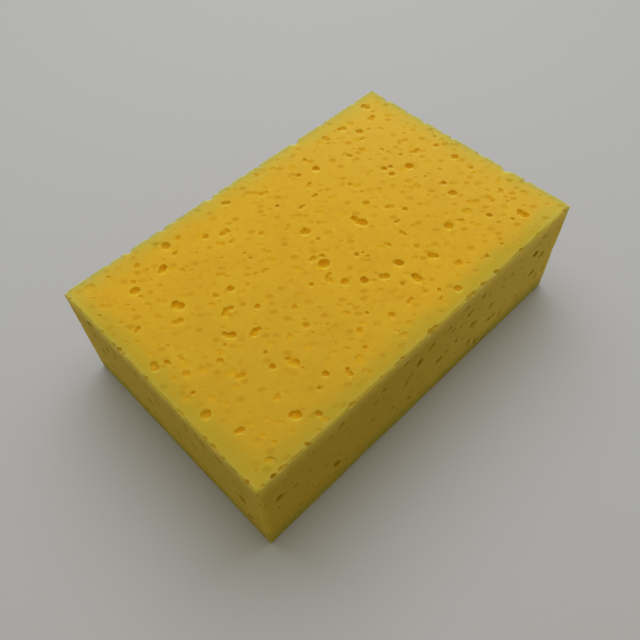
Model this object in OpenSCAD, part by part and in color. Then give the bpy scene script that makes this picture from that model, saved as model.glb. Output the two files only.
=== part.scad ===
// Cleaning sponge: one block sawn from a bun of coarse polyurethane foam.
// The saw cuts open the gas bubbles that lie in its way, so each face is pitted with
// pores: single bubbles, and short chains of two or three that had run together.
// Bubbles that lie on an edge leave nicks in it.
// Millimetres, +Z up. The origin is the middle of the face that the block rests on.

/* [Block] */
// Length of the block
block_len = 170; // [120:1:220]
// Width of the block
block_wid = 110; // [80:1:150]
// Height of the block
block_hgt = 52; // [35:1:80]
// Radius that handling has worn on every edge
edge_r = 0.8; // [0.5:0.1:1.5]

/* [Coarse pores] */
// Smallest bubble radius in a coarse pore
coarse_r_min = 1.3; // [1.2:0.1:1.5]
// Largest bubble radius in a coarse pore
coarse_r_max = 2.3; // [2:0.1:2.8]
// Area of skin that gets one coarse pore, in square millimetres
coarse_area = 300; // [250:10:900]

/* [Fine pores] */
// Smallest bubble radius in a fine pore
fine_r_min = 0.8; // [0.7:0.1:0.9]
// Largest bubble radius in a fine pore
fine_r_max = 1.2; // [1:0.1:1.3]
// Area of skin that gets one fine pore, in square millimetres
fine_area = 240; // [200:10:900]

/* [Edge nicks] */
// Smallest bubble radius in a nick
nick_r_min = 1.4; // [1.3:0.1:1.8]
// Largest bubble radius in a nick
nick_r_max = 2.3; // [2:0.1:2.8]
// Length of edge that gets one nick
nick_pitch = 34; // [20:1:80]

/* [Foam] */
// Thinnest wall of foam between two pores
pore_wall = 0.5; // [0.4:0.1:1]
// Chance that a pore is a chain of two or three bubbles
chain_share = 0.4; // [0:0.05:0.6]
// First number of the scatter: another number gives another block from the same foam
scatter_seed = 3; // [1:1:50]

/* [Hidden] */
foam_colour = [0.82, 0.65, 0.18];
bubble_fn = 24;
edge_fn = 24;

// A chain's bubbles: distance between two, how much each next one shrinks and how far
// the middle one of three stands aside, all as shares of the first one's radius
chain_step = 0.95;
chain_shrink = 0.12;
chain_bow = 0.35;
// Share of the chains that have three bubbles, and not two
three_share = 0.35;
// Depth of a bubble's centre under the face, as a share of its radius
sink_min = -0.65;
sink_max = 0.15;
// How far outside both of its faces the centre of a nick lies
nick_proud = 0.25;
// Bare patch in the middle of the resting face
rest_patch_r = 6;
// Each next pore of a scatter moves on by these shares of its side's two lengths, which
// spreads the pores evenly, and then strays by up to half of the last share
spread_u = 0.7549;
spread_v = 0.5698;
spread_stray = 0.12;

half = [block_len, block_wid, block_hgt] / 2;
middle = [0, 0, half.z];
X = 0;
Y = 1;
Z = 2;
TOP = [Z, 1];
BOTTOM = [Z, -1];
FRONT = [Y, -1];
BACK = [Y, 1];
LEFT = [X, -1];
RIGHT = [X, 1];
SIDES = [TOP, BOTTOM, FRONT, BACK, LEFT, RIGHT];

// Pores that give this block its face. Each row: the side, the place on it as shares of
// the side's two lengths, the bubble radius, the number of bubbles, the turn of the
// chain, and the depth of the centre as a share of the radius
telling_pores = [
    [TOP, 0.62, 0.51, 2.1, 3, 100, 0.05],
    [TOP, 0.46, 0.45, 2.3, 1, 0, 0.05],
    [TOP, 0.44, 0.39, 1.4, 3, 40, -0.15],
    [TOP, 0.58, 0.16, 1.8, 2, 80, 0.15],
    [TOP, 0.49, 0.29, 1.8, 1, 0, 0.15],
    [TOP, 0.53, 0.25, 1.6, 2, 140, -0.05],
    [TOP, 0.14, 0.69, 1.9, 2, 110, 0.05],
    [TOP, 0.10, 0.85, 2.0, 1, 0, -0.05],
    [TOP, 0.26, 0.61, 1.6, 1, 0, 0.15],
    [TOP, 0.21, 0.54, 1.6, 3, 10, 0.05],
    [TOP, 0.17, 0.46, 1.5, 3, 125, 0.05],
    [TOP, 0.22, 0.40, 1.4, 3, 5, 0.05],
    [TOP, 0.22, 0.22, 1.7, 3, 100, -0.15],
    [TOP, 0.14, 0.07, 1.7, 2, 130, 0.15],
    [TOP, 0.36, 0.84, 1.7, 2, 0, -0.15],
    [TOP, 0.68, 0.10, 1.9, 1, 0, -0.25],
    [TOP, 0.62, 0.03, 1.6, 1, 0, 0.05],
    [TOP, 0.85, 0.57, 1.9, 1, 0, 0.05],
    [TOP, 0.86, 0.87, 1.8, 1, 0, -0.15],
    [TOP, 0.93, 0.90, 1.8, 2, 20, -0.45],
    [TOP, 0.01, 0.54, 1.5, 2, 70, -0.05],
    [TOP, 0.19, 0.26, 1.3, 1, 0, 0.15],
    [TOP, 0.04, 0.16, 1.3, 2, 160, -0.05],
    [TOP, 0.27, 0.48, 1.4, 1, 0, -0.15],
    [TOP, 0.31, 0.30, 1.6, 1, 0, -0.35],
    [TOP, 0.12, 0.40, 1.4, 1, 0, -0.25],
    [TOP, 0.05, 0.44, 1.5, 1, 0, -0.35],
    [TOP, 0.35, 0.58, 1.1, 3, 0, -0.35],
    [TOP, 0.39, 0.65, 1.4, 3, 110, -0.55],
    [TOP, 0.60, 0.73, 1.2, 2, 170, -0.15],
    [TOP, 0.77, 0.79, 1.1, 2, 100, -0.15],
    [TOP, 0.81, 0.47, 1.6, 2, 70, -0.45],
    [TOP, 0.91, 0.61, 1.5, 2, 5, -0.25],
    [TOP, 0.70, 0.48, 1.7, 1, 0, -0.45],
    [TOP, 0.68, 0.40, 1.1, 2, 10, -0.05],
    [TOP, 0.66, 0.34, 1.2, 2, 100, -0.35],
    [TOP, 0.65, 0.26, 1.4, 1, 0, -0.35],
    [TOP, 0.79, 0.23, 1.0, 3, 135, -0.25],
    [TOP, 0.52, 0.11, 1.4, 2, 10, -0.25],
    [TOP, 0.46, 0.12, 1.5, 1, 0, -0.35],
    [TOP, 0.33, 0.81, 1.2, 3, 130, -0.45],
    [TOP, 0.27, 0.94, 1.6, 1, 0, -0.45],
    [FRONT, 0.19, 0.27, 1.9, 2, 110, 0.15],
    [FRONT, 0.50, 0.82, 1.7, 2, 20, 0.05],
    [FRONT, 0.91, 0.75, 1.8, 2, 130, 0.05],
    [FRONT, 0.38, 0.34, 1.5, 1, 0, -0.15],
    [FRONT, 0.44, 0.23, 1.4, 2, 130, -0.35],
    [FRONT, 0.31, 0.48, 1.4, 1, 0, -0.15],
    [FRONT, 0.58, 0.74, 1.5, 1, 0, -0.25],
    [LEFT, 0.44, 0.40, 1.7, 2, 60, 0.15],
    [LEFT, 0.75, 0.90, 1.8, 2, 50, 0.05],
    [LEFT, 0.26, 0.84, 1.4, 2, 60, -0.15],
    [LEFT, 0.59, 0.30, 1.3, 2, 60, -0.15]
];
// Nicks that show in the outline. Each row: the axis that the edge runs along, the
// edge's two signs, the place as a share of its length, the radius and the bubbles
telling_nicks = [
    [X, [1, 1], 0.16, 2.2, 1],
    [X, [1, 1], 0.22, 1.6, 1],
    [X, [1, 1], 0.26, 2.0, 1],
    [X, [1, 1], 0.30, 1.6, 1],
    [X, [1, 1], 0.41, 2.4, 1],
    [X, [1, 1], 0.71, 2.7, 1],
    [X, [1, 1], 0.82, 1.6, 1],
    [X, [1, 1], 0.94, 1.8, 1],
    [Y, [1, 1], 0.27, 2.8, 1],
    [Y, [1, 1], 0.40, 1.7, 2],
    [Y, [1, 1], 0.60, 1.8, 1],
    [Y, [1, 1], 0.78, 1.7, 1],
    [Y, [1, 1], 0.93, 2.0, 1],
    [Z, [1, -1], 0.45, 1.8, 1]
];

// ---- scatter ----------------------------------------------------------------------

// A number from 0 to 1 that looks like chance and is always the same for the same k
function toss(k) = let (v = sin(k * 78.233) * 43758.5453) v - floor(v);
function between(low, high, share) = low + (high - low) * share;
function spread(start, i, step, stray) =
    let (v = start + i * step + spread_stray * (stray - 0.5)) v - floor(v);
function bubbles_for(k) =
    toss(k) > chain_share ? 1 : toss(k) > chain_share * three_share ? 2 : 3;

// The two axes that lie in a side, or across an edge, in the order X, Y, Z
function others(axis) = axis == X ? [Y, Z] : axis == Y ? [X, Z] : [X, Y];
function unit(axis) = [for (i = [X, Y, Z]) i == axis ? 1 : 0];
function chain_reach(r, count) = r * (1 + chain_step * (count - 1) / 2);

// A pore is [middle, reach, pole axis, bubbles], and a bubble is [centre, radius]. Each
// bubble of a chain sinks from the seat by the same share of its own radius.
function chain(seat, r, count, along, aside, sink, pole) = [
    seat + sink * r,
    chain_reach(r, count),
    pole,
    [
        for (i = [0 : count - 1])
            let (own_r = r * (1 - chain_shrink * i))
            [
                seat + along * r * chain_step * (i - (count - 1) / 2)
                    + aside * r * (count == 3 && i == 1 ? chain_bow : 0)
                    + sink * own_r,
                own_r
            ]
    ]
];

// Place on a line from -half_len to half_len that keeps a chain and its wall off both ends
function inset(half_len, reach, share) =
    let (room = half_len - reach - pore_wall - edge_r) between(-room, room, share);

function face_pore(side, u, v, r, count, turn, sink) =
    let (
        n = side[0],
        flat = others(n),
        reach = chain_reach(r, count),
        across = unit(flat[0]) * inset(half[flat[0]], reach, u)
            + unit(flat[1]) * inset(half[flat[1]], reach, v),
        out = unit(n) * side[1]
    )
    chain(
        middle + across + out * half[n], r, count,
        unit(flat[0]) * cos(turn) + unit(flat[1]) * sin(turn),
        unit(flat[1]) * cos(turn) - unit(flat[0]) * sin(turn),
        -out * sink, n
    );

function edge_nick(axis, signs, share, r, count) =
    let (
        flat = others(axis),
        corner = unit(flat[0]) * signs[0] * (half[flat[0]] + nick_proud)
            + unit(flat[1]) * signs[1] * (half[flat[1]] + nick_proud),
        place = unit(axis) * inset(half[axis], chain_reach(r, count), share)
    )
    chain(middle + corner + place, r, count, unit(axis), [0, 0, 0], [0, 0, 0], axis);

function side_area(side) = let (f = others(side[0])) 4 * half[f[0]] * half[f[1]];

function scattered_pores(r_min, r_max, area, salt) = [
    for (s = [0 : len(SIDES) - 1], i = [1 : round(side_area(SIDES[s]) / area)])
        let (start = 1000 * (scatter_seed + 50 * salt + 150 * s), k = start + 7 * i)
        face_pore(
            SIDES[s], spread(toss(start), i, spread_u, toss(k)),
            spread(toss(start + 1), i, spread_v, toss(k + 1)),
            between(r_min, r_max, pow(toss(k + 2), 2)), bubbles_for(k + 3),
            360 * toss(k + 4), between(sink_min, sink_max, toss(k + 5))
        )
];

function scattered_nicks() = [
    for (axis = [X, Y, Z], a = [-1, 1], b = [-1, 1])
        let (count = floor(2 * half[axis] / nick_pitch))
        for (i = [1 : 1 : count])
            let (k = 1000 * (scatter_seed + 60 * axis + 20 * a + 10 * b + 1500) + 7 * i)
            edge_nick(
                axis, [a, b], (i - toss(k)) / count,
                between(nick_r_min, nick_r_max, pow(toss(k + 1), 2)), bubbles_for(k + 2)
            )
];

// ---- sieve ------------------------------------------------------------------------

function stands_clear(pore, kept) =
    len([for (k = kept) if (norm(pore[0] - k[0]) < pore[1] + k[1] + pore_wall) 1]) == 0;

// Takes the pores in turn, and keeps each one that leaves a wall to all kept before it
function sieve(pores, kept, i = 0) =
    i == len(pores) ? kept
    : sieve(pores, stands_clear(pores[i], kept) ? concat(kept, [pores[i]]) : kept, i + 1);

rest_patch = [[0, 0, 0], rest_patch_r, Z, []];
chosen_pores = concat(
    [for (n = telling_nicks) edge_nick(n[0], n[1], n[2], n[3], n[4])],
    [for (p = telling_pores) face_pore(p[0], p[1], p[2], p[3], p[4], p[5], p[6])]
);
all_pores = sieve(
    concat(
        chosen_pores,
        scattered_nicks(),
        scattered_pores(coarse_r_min, coarse_r_max, coarse_area, 0),
        scattered_pores(fine_r_min, fine_r_max, fine_area, 1)
    ),
    [rest_patch]
);

// ---- solids -----------------------------------------------------------------------

module rounded_outline(a, b) {
    square([a - 2 * edge_r, b], center = true);
    square([a, b - 2 * edge_r], center = true);
    for (x = [-1, 1], y = [-1, 1])
        translate([x * (a / 2 - edge_r), y * (b / 2 - edge_r)])
            circle(edge_r, $fn = edge_fn);
}

// The worn block is what three rounded bars at right angles have in common
module plain_block() {
    translate(middle)
        intersection() {
            linear_extrude(block_hgt, center = true)
                rounded_outline(block_len, block_wid);
            rotate([90, 0, 0])
                linear_extrude(block_wid, center = true)
                    rounded_outline(block_len, block_hgt);
            rotate([90, 0, 90])
                linear_extrude(block_len, center = true)
                    rounded_outline(block_wid, block_hgt);
        }
}

// A bubble's poles point out of its face, or along its edge, so its rim is a clean ring
module bubble(centre, r, pole) {
    translate(centre)
        rotate(pole == X ? [0, 90, 0] : pole == Y ? [90, 0, 0] : [0, 0, 0])
            sphere(r, $fn = bubble_fn);
}

// All the bubbles whose poles point along one axis
module bubbles_along(pole) {
    for (pore = all_pores)
        if (pore[2] == pole)
            for (b = pore[3])
                bubble(b[0], b[1], pole);
}

module sponge_block() {
    color(foam_colour)
        difference() {
            plain_block();
            bubbles_along(X);
            bubbles_along(Y);
            bubbles_along(Z);
        }
}

sponge_block();
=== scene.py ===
# %% [markdown]
# # A foam cleaning sponge
# This lesson dresses one solid: a block sawn from a bun of coarse yellow foam. The frame
# below holds the block at its real size, with its larger pores cut as true cavities. The
# looks are built around it. The same pores get ragged walls, finer ones fill the space
# between them, and the edges are bitten and torn. The foam is golden on top and orange in
# its pores, with pale green rims and a khaki band below them. Painted shade makes its sides
# darker and its foot a darker green, and faint spots of painted shade stand for shallow
# hollows. Lengths are in metres, so `mm` is a handy unit.

import math
import random

import bmesh
import bpy
from mathutils import Matrix, Vector, noise


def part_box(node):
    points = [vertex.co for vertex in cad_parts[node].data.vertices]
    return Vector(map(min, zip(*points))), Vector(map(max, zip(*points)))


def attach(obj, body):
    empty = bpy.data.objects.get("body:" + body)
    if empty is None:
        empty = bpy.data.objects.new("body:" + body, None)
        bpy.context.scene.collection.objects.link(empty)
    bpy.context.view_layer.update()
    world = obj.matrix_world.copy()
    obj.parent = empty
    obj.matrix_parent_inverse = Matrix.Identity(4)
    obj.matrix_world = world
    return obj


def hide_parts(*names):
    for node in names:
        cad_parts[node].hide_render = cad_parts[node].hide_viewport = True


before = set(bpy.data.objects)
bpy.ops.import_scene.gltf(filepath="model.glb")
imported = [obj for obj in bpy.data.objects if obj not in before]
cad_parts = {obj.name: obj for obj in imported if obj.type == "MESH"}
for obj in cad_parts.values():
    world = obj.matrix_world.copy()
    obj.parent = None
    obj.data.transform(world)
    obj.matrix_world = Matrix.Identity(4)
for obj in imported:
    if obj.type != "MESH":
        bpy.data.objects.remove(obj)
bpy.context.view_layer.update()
mm = 0.001
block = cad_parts["sponge_block"]
low, high = (Vector(corner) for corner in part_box("sponge_block"))
middle = (low + high) / 2
half = (high - low) / 2
print("block", [round(side / mm, 1) for side in high - low], "mm")

# %% [markdown]
# ## The worn block as a distance field
# A rounded box is easy to ask questions about. For any point, the distance to its skin
# says how deep the point lies, and the direction of steepest change says which way is out.
# Both are needed to tell the sawn faces of the solid from the walls of its pores, so one
# function gives them. The radius is the wear on the edges.

# %% Depth and outward direction at a point
edge_wear = 0.8 * mm


def skin_at(point):
    """(distance outside the worn block, outward direction) at a point."""
    inner = half - Vector((edge_wear,) * 3)
    place = point - middle
    past = Vector([abs(place[i]) - inner[i] for i in range(3)])
    beyond = Vector([max(step, 0) for step in past])
    if beyond.length > 0:
        distance, way = beyond.length - edge_wear, beyond.normalized()
    else:
        deepest = max(past)
        distance = deepest - edge_wear
        way = Vector([1.0 if step == deepest else 0.0 for step in past])
    return distance, Vector([math.copysign(way[i], place[i]) for i in range(3)])


print("skin at the top's middle:", skin_at(Vector((0, 0, high.z))))

# %% [markdown]
# ## Take the pores off the solid
# The solid already says where each pore is and how deep it goes, so its pores are lifted
# from a copy of its mesh instead of being placed again. A copy comes as loose triangles, so
# it is merged first. The faces that lie on the skin are deleted: those whose middle is
# hardly below it and that look the same way out. Each island that is left is the wall of
# one pore. Its open rim is extruded outwards and filled, which makes a closed plug of the
# pore's exact form, ready to cut with.

# %% Split a copy of the solid into the walls of its pores
merge_gap = 0.002 * mm
skin_depth = 0.05 * mm
skin_match = 0.93


def on_skin(face):
    distance, out = skin_at(face.calc_center_median())
    return distance > -skin_depth and face.normal.dot(out) > skin_match


def islands(faces):
    """Lists of faces that hang together, always in the mesh's own order."""
    faces = list(faces)
    left, found = set(faces), []
    for first in faces:
        if first in left:
            left.remove(first)
            island = [first]
            for reached in island:
                for face in (f for edge in reached.edges for f in edge.link_faces):
                    if face in left:
                        left.remove(face)
                        island.append(face)
            found.append(island)
    return found


plugs = bmesh.new()
plugs.from_mesh(block.data)
bmesh.ops.remove_doubles(plugs, verts=plugs.verts, dist=merge_gap)
bmesh.ops.delete(plugs, geom=[f for f in plugs.faces if on_skin(f)], context="FACES")
bare = [v for v in plugs.verts if not v.link_faces]
bmesh.ops.delete(plugs, geom=bare, context="VERTS")
pore_walls = islands(plugs.faces)
print(len(pore_walls), "pores,", len(plugs.faces), "faces")

# %% Close each wall into a plug
plug_lift = 3.2 * mm


def outward(faces):
    """The way out of a pore: the mean direction of its wall's normals."""
    total = Vector((0, 0, 0))
    for face in faces:
        total += face.normal * face.calc_area()
    return total.normalized()


rim_ways = {}
for wall in pore_walls:
    way_out = outward(wall)
    rim_ways.update((v, way_out) for f in wall for e in f.edges if e.is_boundary for v in e.verts)
rims = [e for e in plugs.edges if e.is_boundary]
grown = bmesh.ops.extrude_edge_only(plugs, edges=rims)["geom"]
for vert in (part for part in grown if isinstance(part, bmesh.types.BMVert)):
    root = next(v for e in vert.link_edges for v in e.verts if v in rim_ways)
    vert.co += rim_ways[root] * plug_lift
mouths = [e for e in plugs.edges if e.is_boundary]
bmesh.ops.holes_fill(plugs, edges=mouths, sides=0)
bmesh.ops.recalc_face_normals(plugs, faces=plugs.faces)
open_edges = sum(not e.is_manifold for e in plugs.edges)
print(open_edges, "open edges after closing")

# %% [markdown]
# ## Rough up the pores
# Real bubbles aren't perfect balls: the foam round them pulls their walls about. First the
# Decimate modifier thins the plugs, because the solid's mesh is far denser than foam needs.
# Then every point strays along a noise field, a broad one for lopsided mouths and a fine
# one for ragged walls. A field moves neighbours together, so a plug's wall stays whole.
# Blender places this vector noise by the clock unless `noise.seed_set` is called, which
# isn't done here: the pores stay put, but how ragged they are differs from run to run.

# %% Thin the plugs and let them stray
plug_share_kept = 0.125
broad_size, broad_stray = 3.4 * mm, 0.42 * mm
ragged_size, ragged_stray = 1.3 * mm, 0.2 * mm


def new_piece(name, bm):
    """A mesh object at the origin made from a bmesh, which is then freed."""
    mesh = bpy.data.meshes.new(name)
    bm.to_mesh(mesh)
    bm.free()
    piece = bpy.data.objects.new(name, mesh)
    bpy.context.scene.collection.objects.link(piece)
    return piece


def apply_modifiers(piece):
    """Makes what the modifiers show the piece's own mesh."""
    shown = piece.evaluated_get(bpy.context.evaluated_depsgraph_get())
    mesh = bpy.data.meshes.new_from_object(shown)
    piece.modifiers.clear()
    piece.data = mesh
    print(piece.name, len(mesh.polygons), "faces")


def stray(mesh, size, amount):
    """Moves every point along a noise field whose lumps have a size."""
    for vert in mesh.vertices:
        vert.co += noise.noise_vector(vert.co / size) * amount


coarse_plugs = new_piece("coarse_plugs", plugs)
thin = coarse_plugs.modifiers.new("thin", "DECIMATE")
thin.ratio = plug_share_kept
apply_modifiers(coarse_plugs)
stray(coarse_plugs.data, broad_size, broad_stray)
stray(coarse_plugs.data, ragged_size, ragged_stray)

# %% [markdown]
# ## Saw the block
# The block starts as a cube, scaled to the frame's box. A bevel with a few segments rounds
# the worn edges, and planes every few millimetres cut its big faces into a grid, because
# only a face with points in it can be uneven. A broad, shallow noise then moves the skin
# in and out a little, as a saw leaves soft foam. A finer noise tatters the edges, and it
# only ever cuts inwards, because torn foam is gone.

# %% A worn, gridded, slightly uneven block
wear_steps = 4
grid_step = 3.3 * mm
wave_size, wave_height = 17 * mm, 0.14 * mm
ripple_size, ripple_height = 5 * mm, 0.06 * mm
tatter_size, tatter_depth, tatter_onset = 2.8 * mm, 1.3 * mm, 2.5

body = bmesh.new()
cube = bmesh.ops.create_cube(body, size=1)["verts"]
bmesh.ops.scale(body, verts=cube, vec=high - low)
bmesh.ops.translate(body, verts=cube, vec=middle)
bmesh.ops.bevel(body, geom=body.edges[:], offset=edge_wear, offset_type="OFFSET", affect="EDGES",
                segments=wear_steps, profile=0.5, material=-1)
for axis in range(3):
    normal = Vector([1 if i == axis else 0 for i in range(3)])
    flat_half = half[axis] - edge_wear
    cuts = round(2 * flat_half / grid_step)
    for cut in range(1, cuts):
        place = middle + normal * flat_half * (2 * cut / cuts - 1)
        bmesh.ops.bisect_plane(body, geom=body.verts[:] + body.edges[:] + body.faces[:],
                               dist=merge_gap, plane_co=place, plane_no=normal)
for vert in body.verts:
    out = skin_at(vert.co)[1]
    on_corner = min(1.0, tatter_onset * (1 - max(abs(step) for step in out)))
    vert.co += out * (wave_height * noise.noise(vert.co / wave_size)
                      + ripple_height * noise.noise(vert.co / ripple_size)
                      - tatter_depth * on_corner * abs(noise.noise(vert.co / tatter_size)))
sponge = new_piece("foam_block", body)
print("sawn block", len(sponge.data.polygons), "faces")

# %% [markdown]
# ## Bites along the edges
# Foam tears where a bubble lies on an edge, so no edge is a clean line. Each bite is a ball
# of a few dozen faces, stretched and turned by chance, with its middle near the edge. One
# that lands too near an earlier one is left out, because the foam between them would be too
# thin to stand. Bubbles were drawn out along the way that the bun rose, so they need more
# room that way, and the distance is measured with this stretch taken off again. A seeded
# generator throws the balls at the same places on each run.

# %% Throw bites at the twelve edges
throw_seed = 5
throw_gap = 0.2 * mm
largest_ball = 2.0 * mm
search_cell = 2.6 * largest_ball + throw_gap
bun_way, bun_stretch = Vector((0.74, -0.67, 0.0)).normalized(), 1.3
draw_out, draw_back = (Matrix.Scale(by, 4, bun_way) for by in (bun_stretch, 1 / bun_stretch))
bite_pitch, bite_spread, bite_room = 5.0 * mm, 0.5 * mm, 1.6
bite_small, bite_large = 0.7 * mm, 1.7 * mm
bite_narrow, bite_long = (0.6, 0.9), (1, 1.4)
bite_steps = 2
throw = random.Random(throw_seed)
taken = {}
balls = bmesh.new()


def lands_clear(point, radius):
    """Notes the ball and says True if no earlier one is too near."""
    point = draw_back @ point
    cell = tuple(int(c // search_cell) for c in point)
    near = [taken.get((cell[0] + i, cell[1] + j, cell[2] + k), [])
            for i in (-1, 0, 1) for j in (-1, 0, 1) for k in (-1, 0, 1)]
    if any((point - p).length < radius + r + throw_gap for earlier in near for p, r in earlier):
        return False
    taken.setdefault(cell, []).append((point, radius))
    return True


def chance_turn():
    """A turn by any angle about any axis."""
    return Matrix.Rotation(throw.uniform(0, math.tau), 4, Vector([throw.gauss(0, 1) for _ in "xyz"]))


def add_patch(patch):
    """Moves one small batch of balls into the large mesh, which is faster than one by one."""
    batch = bpy.data.meshes.new("batch")
    patch.to_mesh(batch)
    patch.free()
    balls.from_mesh(batch)
    bpy.data.meshes.remove(batch)


def bite_edge(axis, signs):
    """Throws balls along one edge of the block, near its line."""
    patch = bmesh.new()
    across = [i for i in range(3) if i != axis]
    for _ in range(round(2 * half[axis] / bite_pitch)):
        radius = throw.uniform(bite_small, bite_large)
        point = middle.copy()
        point[axis] += half[axis] * throw.uniform(-1, 1)
        for i, sign in zip(across, signs):
            point[i] += sign * (half[i] + throw.uniform(-bite_spread, bite_spread))
        turn = chance_turn()
        stretch = Matrix.Diagonal((1, throw.uniform(*bite_narrow), throw.uniform(*bite_long), 1))
        if lands_clear(point, radius * bite_room):
            bmesh.ops.create_icosphere(patch, subdivisions=bite_steps, radius=radius,
                                       matrix=Matrix.Translation(point) @ turn @ stretch)
    add_patch(patch)


for axis in range(3):
    for signs in ((-1, -1), (-1, 1), (1, -1), (1, 1)):
        bite_edge(axis, signs)
bites = sum(len(kept) for kept in taken.values())
print(bites, "bites")

# %% [markdown]
# ## Dips and fine pores
# Between the pores that the solid holds, foam shows many more that the saw only just
# touched: shallow dips a few millimetres wide, and small round pores. They are balls too,
# squashed flat along the way out of their face and drawn out the way the bun rose. A ball's
# middle lies a little above the skin, so that the rim of its dip slopes gently and doesn't
# hang over. They are thrown at each face in turn, as many as its area asks for, with fewer
# dips on the four sides. Most are small, as in real foam.

# %% Throw dips and fine pores at the six faces
top_dip_area, side_dip_area, fine_area = 25 * mm * mm, 55 * mm * mm, 70 * mm * mm
dips = {"small": 0.9 * mm, "large": largest_ball, "flat": 0.30, "sunk": (-0.14, -0.04), "steps": 2}
fine_pores = {"small": 0.55 * mm, "large": 0.95 * mm, "flat": 0.40, "sunk": (-0.2, 0.0), "steps": 1}
small_bias = 1.8
ball_room = 1.4
ball_stretches = (0.7, 1), (0.8, 1.1), (0.9, 1.4)
fine_stray_size, fine_stray = 1.4 * mm, 0.2 * mm


def throw_balls(axis, side, each_area, small, large, flat, sunk, steps):
    """Throws balls at one face: how large, how flat, and how many radii deep."""
    patch = bmesh.new()
    out = Vector([side if i == axis else 0 for i in range(3)])
    across = [i for i in range(3) if i != axis]
    area = 4 * half[across[0]] * half[across[1]]
    for _ in range(round(area / each_area)):
        radius = small + (large - small) * throw.random() ** small_bias
        point = middle.copy()
        for i in across:
            point[i] += half[i] * throw.uniform(-1, 1)
        point += out * (half[axis] - radius * throw.uniform(*sunk))
        turn = chance_turn()
        stretch = Matrix.Diagonal([throw.uniform(*limits) for limits in ball_stretches] + [1])
        if lands_clear(point, radius * ball_room):
            bmesh.ops.create_icosphere(patch, subdivisions=steps, radius=radius,
                                       matrix=Matrix.Translation(point) @ Matrix.Scale(flat, 4, out)
                                       @ draw_out @ turn @ stretch)
    add_patch(patch)


for axis in range(3):
    dip_area = top_dip_area if axis == 2 else side_dip_area
    for side in (-1, 1):
        throw_balls(axis, side, dip_area, **dips)
        throw_balls(axis, side, fine_area, **fine_pores)
fine_balls = new_piece("fine_balls", balls)
stray(fine_balls.data, fine_stray_size, fine_stray)
print(sum(len(kept) for kept in taken.values()) - bites, "dips and fine pores")

# %% [markdown]
# ## Cut the pores
# The Boolean modifier takes the plugs and the balls out of the block. Its Manifold solver
# is fast and exact on closed meshes, and leaves a closed mesh. The cutters are then deleted.
# Where two cuts meet, a crumb of foam can be left with nothing to hold it, so every island
# of faces but the largest is swept away.

# %% Subtract plugs and balls
for cutter in (coarse_plugs, fine_balls):
    cut = sponge.modifiers.new("cut", "BOOLEAN")
    cut.operation, cut.solver, cut.object = "DIFFERENCE", "MANIFOLD", cutter
apply_modifiers(sponge)
for cutter in (coarse_plugs, fine_balls):
    bpy.data.objects.remove(cutter)

# %% Sweep away loose crumbs
cut_foam = bmesh.new()
cut_foam.from_mesh(sponge.data)
crumbs = sorted(islands(cut_foam.faces), key=len)[:-1]
bmesh.ops.delete(cut_foam, geom=[f for crumb in crumbs for f in crumb], context="FACES")
cut_foam.to_mesh(sponge.data)
print(len(crumbs), "crumbs swept away,", len(cut_foam.faces), "faces left")
cut_foam.free()

# %% [markdown]
# ## Soft rims
# Foam has no hard edge at the mouth of a pore. Smooth shading blends the directions of
# faces that meet, and the Weighted Normal modifier gives the big flat faces the last word.
# So the sawn skin stays flat, and the blend falls inside each pore, where it reads as a
# soft lip. Only folds sharper than the angle below stay hard.

# %% Smooth shading that leaves the skin flat
fold_angle = math.radians(100)
lip_weight = 50

sponge.data.shade_smooth()
sponge.data.set_sharp_from_angle(angle=fold_angle)
lips = sponge.modifiers.new("soft_lips", "WEIGHTED_NORMAL")
lips.mode, lips.weight, lips.keep_sharp = "FACE_AREA", lip_weight, True
apply_modifiers(sponge)

# %% [markdown]
# ## Note which way the foam leans
# A cut bubble shows the deeper colour of its wall even where it is shallow, and depth alone
# can't tell such a wall from sawn skin. But a wall leans. So each corner of the mesh keeps
# an attribute that the material can read: 0 where the foam faces straight out of the top or
# a side, and more the further it turns from there.

# %% Note how far each corner of the mesh leans from the flat skin
lean = sponge.data.attributes.new("lean", "FLOAT", "CORNER")
leans = [1 - max(abs(step) for step in corner.vector) for corner in sponge.data.corner_normals]
lean.data.foreach_set("value", leans)
print("the steepest corner leans", round(max(leans), 2))

# %% [markdown]
# ## Wires: shader maths as Python expressions
# A material is a sheet of nodes joined by wires, and maths on it soon takes dozens of small
# nodes. The class below wraps one output socket. Adding or multiplying wires lays down the
# Math node that does it, so a formula in Python becomes a formula in the material. Every
# other kind of node comes from the one method `node`.

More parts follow.
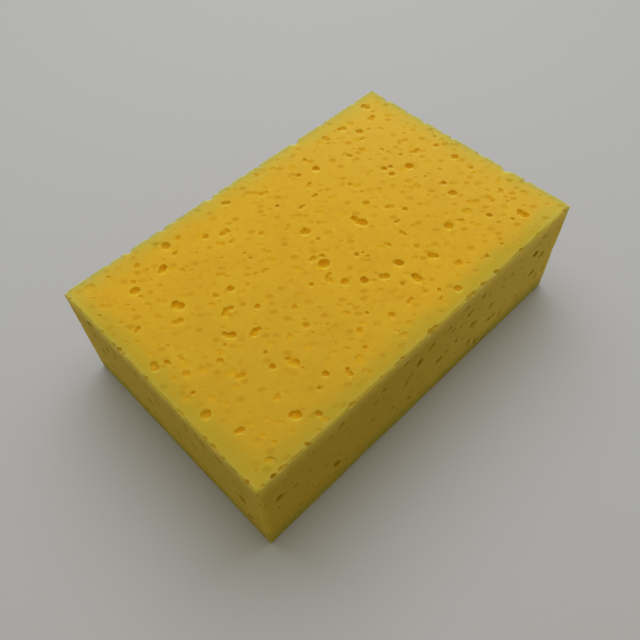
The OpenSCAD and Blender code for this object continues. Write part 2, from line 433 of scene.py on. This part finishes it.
# %% A wire
class Wire:
    """An output socket of a node tree that takes part in Python arithmetic."""

    def __init__(self, tree, socket=None):
        self.tree, self.socket = tree, socket

    def node(self, kind, settings=None, sockets=None, out=0):
        """Lays down a node, sets it up, fills or links its inputs, and returns an output."""
        made = self.tree.nodes.new(kind)
        for name, value in (settings or {}).items():
            setattr(made, name, value)
        for name, value in (sockets or {}).items():
            if isinstance(value, Wire):
                self.tree.links.new(value.socket, made.inputs[name])
            else:
                made.inputs[name].default_value = value
        return Wire(self.tree, made.outputs[out])

    def sibling(self, name):
        """Another output of the node that this wire comes from."""
        return Wire(self.tree, self.socket.node.outputs[name])

    def maths(self, operation, *values):
        return self.node("ShaderNodeMath", {"operation": operation}, dict(enumerate(values)))

    def __add__(self, other):
        return self.maths("ADD", self, other)

    def __sub__(self, other):
        return self.maths("SUBTRACT", self, other)

    def __rsub__(self, other):
        return self.maths("SUBTRACT", other, self)

    def __mul__(self, other):
        return self.maths("MULTIPLY", self, other)

    def __abs__(self):
        return self.maths("ABSOLUTE", self)

    __radd__, __rmul__ = __add__, __mul__

    def least(self, other):
        return self.maths("MINIMUM", self, other)

    def most(self, other):
        return self.maths("MAXIMUM", self, other)

    def rise(self, start, end):
        """0 up to start, 1 from end on, and a smooth step between."""
        return self.node("ShaderNodeMapRange", {"interpolation_type": "SMOOTHSTEP"},
                         {"Value": self, "From Min": start, "From Max": end})

    def scaled(self, factor):
        return self.node("ShaderNodeVectorMath", {"operation": "SCALE"}, {0: self, "Scale": factor})

    def mixture(self, first, second, share):
        """One colour turning into another by a share."""
        return self.node("ShaderNodeMix", {"data_type": "RGBA"}, {0: share, 6: first, 7: second}, out=2)

    def mixed(self, other, share):
        return self.mixture(self, other, share)


print("a wire can be", ", ".join(name for name in vars(Wire) if not name.startswith("_")))

# %% [markdown]
# ## Foam: where a point lies
# Most of this foam's colour follows from where a point lies in the block, so the material
# works that out first, from Object coordinates, in millimetres. The distances to the three
# nearest faces are sorted: the smallest is the depth, and the middle one is the distance to
# the nearest edge. Two more say how far a point is from the two faces at the back, and from
# the near top corner, farthest from the lamp, around which the top gets painted shade.

# %% Distances inside the block
foam = bpy.data.materials.new("cut_foam")
foam.use_nodes = True
sheet = Wire(foam.node_tree)

spot = sheet.node("ShaderNodeTexCoord", out="Object").scaled(1 / mm)
split = sheet.node("ShaderNodeSeparateXYZ", None, {0: spot})
along = [split.sibling(name) - centre / mm for name, centre in zip("XYZ", middle)]
across = [reach / mm - abs(way) for reach, way in zip(half, along)]
depth = across[0].least(across[1]).least(across[2])
edge = across[0].least(across[1]).most(across[0].most(across[1]).least(across[2]))
to_back = (half.x / mm - along[0]).least(half.y / mm - along[1])
# The near top corner, farthest from the lamp behind; the top is painted darker around it as shade.
near_top_corner = tuple(Vector((low.x, low.y, high.z)) / mm)
from_corner = sheet.node("ShaderNodeVectorMath", {"operation": "DISTANCE"},
                         {0: spot, 1: near_top_corner}, out="Value")
print("held corner", [round(step, 1) for step in near_top_corner])

# %% [markdown]
# ## Foam: grain
# A border between two colours is never a straight line in foam. Noise of three sizes is
# kept at hand, and a distance to which some of it is added gives a border that wanders to
# and fro. The words broad, small and tiny say by how many millimetres each noise moves it.

# %% Three sizes of noise
broad_grain, small_grain, tiny_grain = 16.0, 2.2, 0.7


def grain(size):
    """Noise about 0, whose lumps are size millimetres across."""
    return sheet.node("ShaderNodeTexNoise", None, {"Vector": spot, "Scale": 1 / size}) - 0.5


patchy, mottle, fine = grain(broad_grain), grain(small_grain), grain(tiny_grain)


def wandering(distance, broad=0, small=0, tiny=0):
    """A distance whose borders wander, by so many millimetres for each size of noise."""
    for noises, reach in ((patchy, broad), (mottle, small), (fine, tiny)):
        if reach:
            distance = distance + noises * reach
    return distance


print("lumps of", broad_grain, small_grain, "and", tiny_grain, "mm")

# %% [markdown]
# ## Foam: masks
# A mask is 1 where a colour belongs and 0 elsewhere. Each pair below says where one starts
# and ends, in millimetres. Light that comes back out of a deep pore has passed through a lot
# of foam, so depth has a mask, and so have shallow dips and the walls that lean. The rims
# wear and pale, more widely at the back; the pale in front is partly a painted highlight,
# and the green at the back is partly painted shade. The sides, their top band and their foot
# have masks of their own. Voronoi cells, drawn out as real bubbles are, give faint spots of
# painted shade that stand for shallow hollows, and each cell's chance value decides whether
# it shows.

# %% Masks for pores, dips and spots of painted shade
pore_depth, dip_depth = (0.4, 1.9), (0.07, 0.35)
wall_lean, wall_from_edge = (0.015, 0.15), (1.0, 3.0)
cell_size, cell_stretch = 3.6, 1.4
cell_reach, cell_chance = (0.2, 0.4), (0.35, 0.7)

in_pore = wandering(depth, tiny=0.5).rise(*pore_depth)
in_dip = wandering(depth, tiny=0.1).rise(*dip_depth)
leaning = sheet.node("ShaderNodeAttribute", {"attribute_name": "lean"}, out="Fac")
in_wall = leaning.rise(*wall_lean) * edge.rise(*wall_from_edge)
bun_turn = (0, 0, math.atan2(bun_way.y, bun_way.x))
drawn = sheet.node("ShaderNodeMapping", {"vector_type": "TEXTURE"},
                   {"Vector": spot, "Rotation": bun_turn, "Scale": (cell_stretch, 1, 1)})
cells = sheet.node("ShaderNodeTexVoronoi", None, {"Vector": drawn, "Scale": 1 / cell_size})
shows = cells.sibling("Color").rise(*cell_chance)
# Painted shade: faint darker spots that stand for the shade of shallow hollows.
spot_shade = (1 - wandering(cells, tiny=0.3).rise(*cell_reach)) * shows
print("bubbles drawn out at", round(math.degrees(bun_turn[2]), 1), "degrees")

# %% Masks for rims, sides and foot
# Pale front rims are partly wear and partly a painted highlight; green back rims are partly wear and
# partly painted shade.
rim_band, worn_band, far_worn_band = (1.0, 12.0), (0.2, 2.2), (0.2, 4.5)
back_band, back_fade = (1.0, 5.0), (5.0, 30.0)
side_border, end_border = (-0.4, 1.2), (-0.5, 0.5)
khaki_band, foot_band = (0.5, 9.0), (1.0, 13.0)
# Reaches of three painted marks: shade around the near top corner, light on the far end of the sides,
# glare on the far end of the top.
corner_shade_reach, side_light_reach, far_glare_reach = (10.0, 110.0), (60.0, 150.0), (110.0, 190.0)

near_edge = 1 - wandering(edge, broad=8.0, small=2.0).rise(*rim_band)
on_edge = 1 - wandering(edge, small=0.8).rise(*worn_band)
on_far_rim = 1 - wandering(edge, small=0.8).rise(*far_worn_band)
at_back = 1 - to_back.rise(*back_band)
on_side = (across[2] - across[0].least(across[1])).rise(*side_border)
on_end = (across[1] - across[0]).rise(*end_border)
below_rim = 1 - wandering(half.z / mm - along[2], broad=3.0, small=1.2).rise(*khaki_band)
# Painted shade: the foot of the sides is painted a darker green.
at_foot = 1 - wandering(half.z / mm + along[2], broad=4.0, small=2.0).rise(*foot_band)
# Painted shade: the top darkens towards the near top corner, which the lamp behind lights less.
near_corner = 1 - from_corner.rise(*corner_shade_reach)
print("rims pale over", rim_band[1], "mm, the foot over", foot_band[1], "mm")

# %% [markdown]
# ## Foam: colours
# The top is golden, in two tones that mottle each other, and is painted paler towards the
# far end, a painted glare of the lamp behind. Its rims turn green and yellow where light
# leaks out at both sides. The sides are painted a darker olive, as shade from the lamp
# behind, and paler towards their far end as painted light; they are paler on the two end
# faces too, khaki just below the top, and a darker green at the foot, painted shade. Rims go
# over these: pale in front, partly wear and partly a painted highlight, and darker green at
# the back, partly wear and partly painted shade, both weaker down the upright edges. The top
# is painted darker towards its near corner, as shade where the lamp behind lights it less.
# Bubbles come last: the skin of a dip, then the deep orange of a pore, both painted darker
# on the sides as shade.

# %% Colours of skin and sides
golden, dark_golden = (0.64, 0.377, 0.014, 1), (0.60, 0.337, 0.012, 1)
# Painted glare: the top is painted paler towards the far end, nearest the lamp behind.
glare_gold = (0.65, 0.40, 0.034, 1)
green_yellow, far_yellow = (0.40, 0.32, 0.021, 1), (0.48, 0.40, 0.045, 1)
# Painted shade: darker colours for the faint spots that stand for shallow hollows.
spot_shade_gold, spot_shade_green = (0.55, 0.285, 0.003, 1), (0.41, 0.28, 0.008, 1)
# Painted shade: the sides are painted a darker olive, as the lamp behind doesn't reach them; the paler
# olive is painted light towards their far end, and also goes on the two end faces.
shade_olive, paler_olive = (0.475, 0.315, 0.023, 1), (0.60, 0.42, 0.050, 1)
# The foot colour is painted shade: a darker green at the bottom of the sides.
rim_khaki, foot_shade_green = (0.70, 0.55, 0.10, 1), (0.29, 0.265, 0.026, 1)
# Painted shade: bubbles and spots on the sides are painted darker than on the top.
side_shade_bubble = (0.43, 0.29, 0.016, 1)
far_share, rim_share, end_share = 0.8, 0.7, 0.45
khaki_share, foot_share, side_cell_share = 0.6, 0.8, 0.3

two_tones = (patchy * 1.2 + mottle * 1.4 + 0.35).rise(0.0, 1.0)
skin = sheet.mixture(golden, dark_golden, two_tones)
# Painted glare towards the far end of the top.
skin = skin.mixed(glare_gold, from_corner.rise(*far_glare_reach) * far_share)
rim_yellow = sheet.mixture(far_yellow, green_yellow, to_back.rise(*back_fade))
skin = skin.mixed(rim_yellow, near_edge * rim_share)
# Painted shade: faint darker spots for shallow hollows.
skin = skin.mixed(sheet.mixture(spot_shade_gold, spot_shade_green, near_edge), spot_shade)
# Painted shade and light on the sides: darker olive, paler towards their far end and on the end faces,
# darker green at the foot.
side_paler = from_corner.rise(*side_light_reach).most(on_end * end_share)
side = sheet.mixture(shade_olive, paler_olive, side_paler)
side = side.mixed(rim_khaki, below_rim * khaki_share)
side = side.mixed(foot_shade_green, at_foot * foot_share)
side = side.mixed(side_shade_bubble, spot_shade * side_cell_share)
skin = skin.mixed(side, on_side)
print(len(foam.node_tree.nodes), "nodes so far")

# %% Colours of worn and painted rims, painted shade and bubbles
# Pale front rims: partly wear, partly a painted highlight. Green back rims: partly wear, partly painted
# shade, darker where the lamp behind would light the rounded edge.
pale_wear_and_highlight, green_wear_and_shade = (0.42, 0.39, 0.09, 1), (0.31, 0.315, 0.10, 1)
# Painted shade around the near top corner, which the lamp behind lights less.
painted_corner_shade = (0.38, 0.27, 0.014, 1)
# The pore colour for the sides is darker: painted shade.
bubble_gold, amber, side_shade_pore = (0.65, 0.375, 0.003, 1), (0.72, 0.44, 0.001, 1), (0.34, 0.22, 0.007, 1)
pale_share, pale_down, pale_lost = 0.4, (2.0, 5.0), 0.7
green_share, green_down, green_lost = 0.85, (2.0, 6.0), 0.55
corner_shade_share = 0.3
bubble_share, bubble_lost_at_edge, pore_lost_at_edge = 0.8, 0.4, 0.7

in_front = on_edge * pale_share * (1 - at_back)
# Pale front rims: partly wear, partly a painted highlight.
skin = skin.mixed(pale_wear_and_highlight, in_front * (1 - across[2].rise(*pale_down) * pale_lost))
behind = on_far_rim * at_back
# Darker green back rims: partly wear, partly painted shade.
skin = skin.mixed(green_wear_and_shade, behind * (green_share - across[2].rise(*green_down) * green_lost))
# Painted shade: darker towards the near top corner.
skin = skin.mixed(painted_corner_shade, near_corner * corner_shade_share)
# On the sides, dips and pores take darker colours: painted shade.
bubble = sheet.mixture(bubble_gold, side_shade_bubble, on_side)
pore = sheet.mixture(amber, side_shade_pore, on_side)
skin = skin.mixed(bubble, in_dip.most(in_wall) * (bubble_share - near_edge * bubble_lost_at_edge))
skin = skin.mixed(pore, in_pore * (1 - near_edge * pore_lost_at_edge))
print(len(foam.node_tree.nodes), "nodes so far")

# %% [markdown]
# ## Foam: surface
# Foam is rough and hardly shines. Light goes in, wanders among the thin walls and comes out
# a little way off, which is called subsurface scattering. It softens each pore, so it is
# used instead of a lighter colour. Red light goes furthest and blue least, so the foam
# glows warm. A small bump stands for the fine cells that are too many to model.

# %% Roughness, bumps and scattering
bump_strength, bump_height = 0.5, 0.25 * mm
foam_roughness, foam_shine = 0.85, 0.2
scatter_share, scatter_reach, scatter_colours = 0.6, 12.0 * mm, (1.0, 0.8, 0.3)

bumps = fine * 0.6 + mottle * 0.5
rough_skin = sheet.node("ShaderNodeBump", None,
                        {"Strength": bump_strength, "Distance": bump_height, "Height": bumps})
shader = foam.node_tree.nodes["Principled BSDF"]
foam.node_tree.links.new(skin.socket, shader.inputs["Base Color"])
foam.node_tree.links.new(rough_skin.socket, shader.inputs["Normal"])
shader.inputs["Roughness"].default_value = foam_roughness
shader.inputs["Specular IOR Level"].default_value = foam_shine
shader.inputs["Subsurface Weight"].default_value = scatter_share
shader.inputs["Subsurface Radius"].default_value = scatter_colours
shader.inputs["Subsurface Scale"].default_value = scatter_reach
sponge.data.materials.clear()
sponge.data.materials.append(foam)
print(len(foam.node_tree.nodes), "nodes in the foam")

# %% [markdown]
# ## Table, light and camera
# The block lies on a plain pale table. One large soft light stands behind it and high up,
# so the top is bright and both near sides lie in its shade. The world is a warm, even fill
# that reaches them from all round, as a room does. The camera looks down steeply past the
# near corner.

# %% Table
table_size, table_roughness = 3.0, 0.8
table_grey = (0.43, 0.43, 0.43, 1)

ground = bmesh.new()
bmesh.ops.create_grid(ground, x_segments=1, y_segments=1, size=table_size / 2)
table = new_piece("table_top", ground)
paint = bpy.data.materials.new("plain_table")
paint.use_nodes = True
table_shader = paint.node_tree.nodes["Principled BSDF"]
table_shader.inputs["Base Color"].default_value = table_grey
table_shader.inputs["Roughness"].default_value = table_roughness
table.data.materials.append(paint)
print("table", table_size, "m across")

# %% Light
camera_turn = math.radians(-42.47)
light_turn = camera_turn + math.radians(180)
light_height = math.radians(66)
light_distance, light_width, light_power = 0.9, 1.2, 9.5
light_colour = (0.80, 0.84, 1.0)
fill_level, fill_colour = 0.375, (1.0, 0.90, 0.50, 1)


def direction(turn, height):
    """The way to something at a turn about +Z from -Y, and a height above the table."""
    return Vector((math.sin(turn) * math.cos(height), -math.cos(turn) * math.cos(height),
                   math.sin(height)))


def aim(thing, place, target, roll=0.0):
    """Puts a light or camera at a place, looking at a target."""
    look = (target - place).to_track_quat("-Z", "Y").to_matrix().to_4x4()
    thing.matrix_world = Matrix.Translation(place) @ look @ Matrix.Rotation(roll, 4, "Z")


lamp = bpy.data.lights.new("soft_light", "AREA")
lamp.shape, lamp.size, lamp.energy, lamp.color = "DISK", light_width, light_power, light_colour
lamp_stand = bpy.data.objects.new("soft_light", lamp)
bpy.context.scene.collection.objects.link(lamp_stand)
aim(lamp_stand, middle + direction(light_turn, light_height) * light_distance, middle)

world = bpy.data.worlds.new("even_room")
world.use_nodes = True
world.node_tree.nodes["Background"].inputs["Color"].default_value = fill_colour
world.node_tree.nodes["Background"].inputs["Strength"].default_value = fill_level
bpy.context.scene.world = world
bpy.context.scene.view_settings.view_transform = "Standard"
print("light of", light_power, "W from", light_distance, "m away")

# %% Camera
camera_height = math.radians(54.83)
camera_distance = 0.2684
camera_roll = math.radians(-2.56)
camera_lens, camera_sensor = 37.03, 36
camera_target = Vector((-13.8 * mm, -9.4 * mm, middle.z))
nearest_seen = 0.01

lens = bpy.data.cameras.new("camera")
lens.lens, lens.sensor_width = camera_lens, camera_sensor
lens.clip_start = nearest_seen
camera = bpy.data.objects.new("camera", lens)
bpy.context.scene.collection.objects.link(camera)
camera_place = camera_target + direction(camera_turn, camera_height) * camera_distance
aim(camera, camera_place, camera_target, camera_roll)
bpy.context.scene.camera = camera
print("camera", round(camera_distance / mm), "mm from its target")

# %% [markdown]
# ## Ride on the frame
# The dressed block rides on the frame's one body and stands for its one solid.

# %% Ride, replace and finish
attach(sponge, "root")
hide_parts("sponge_block")
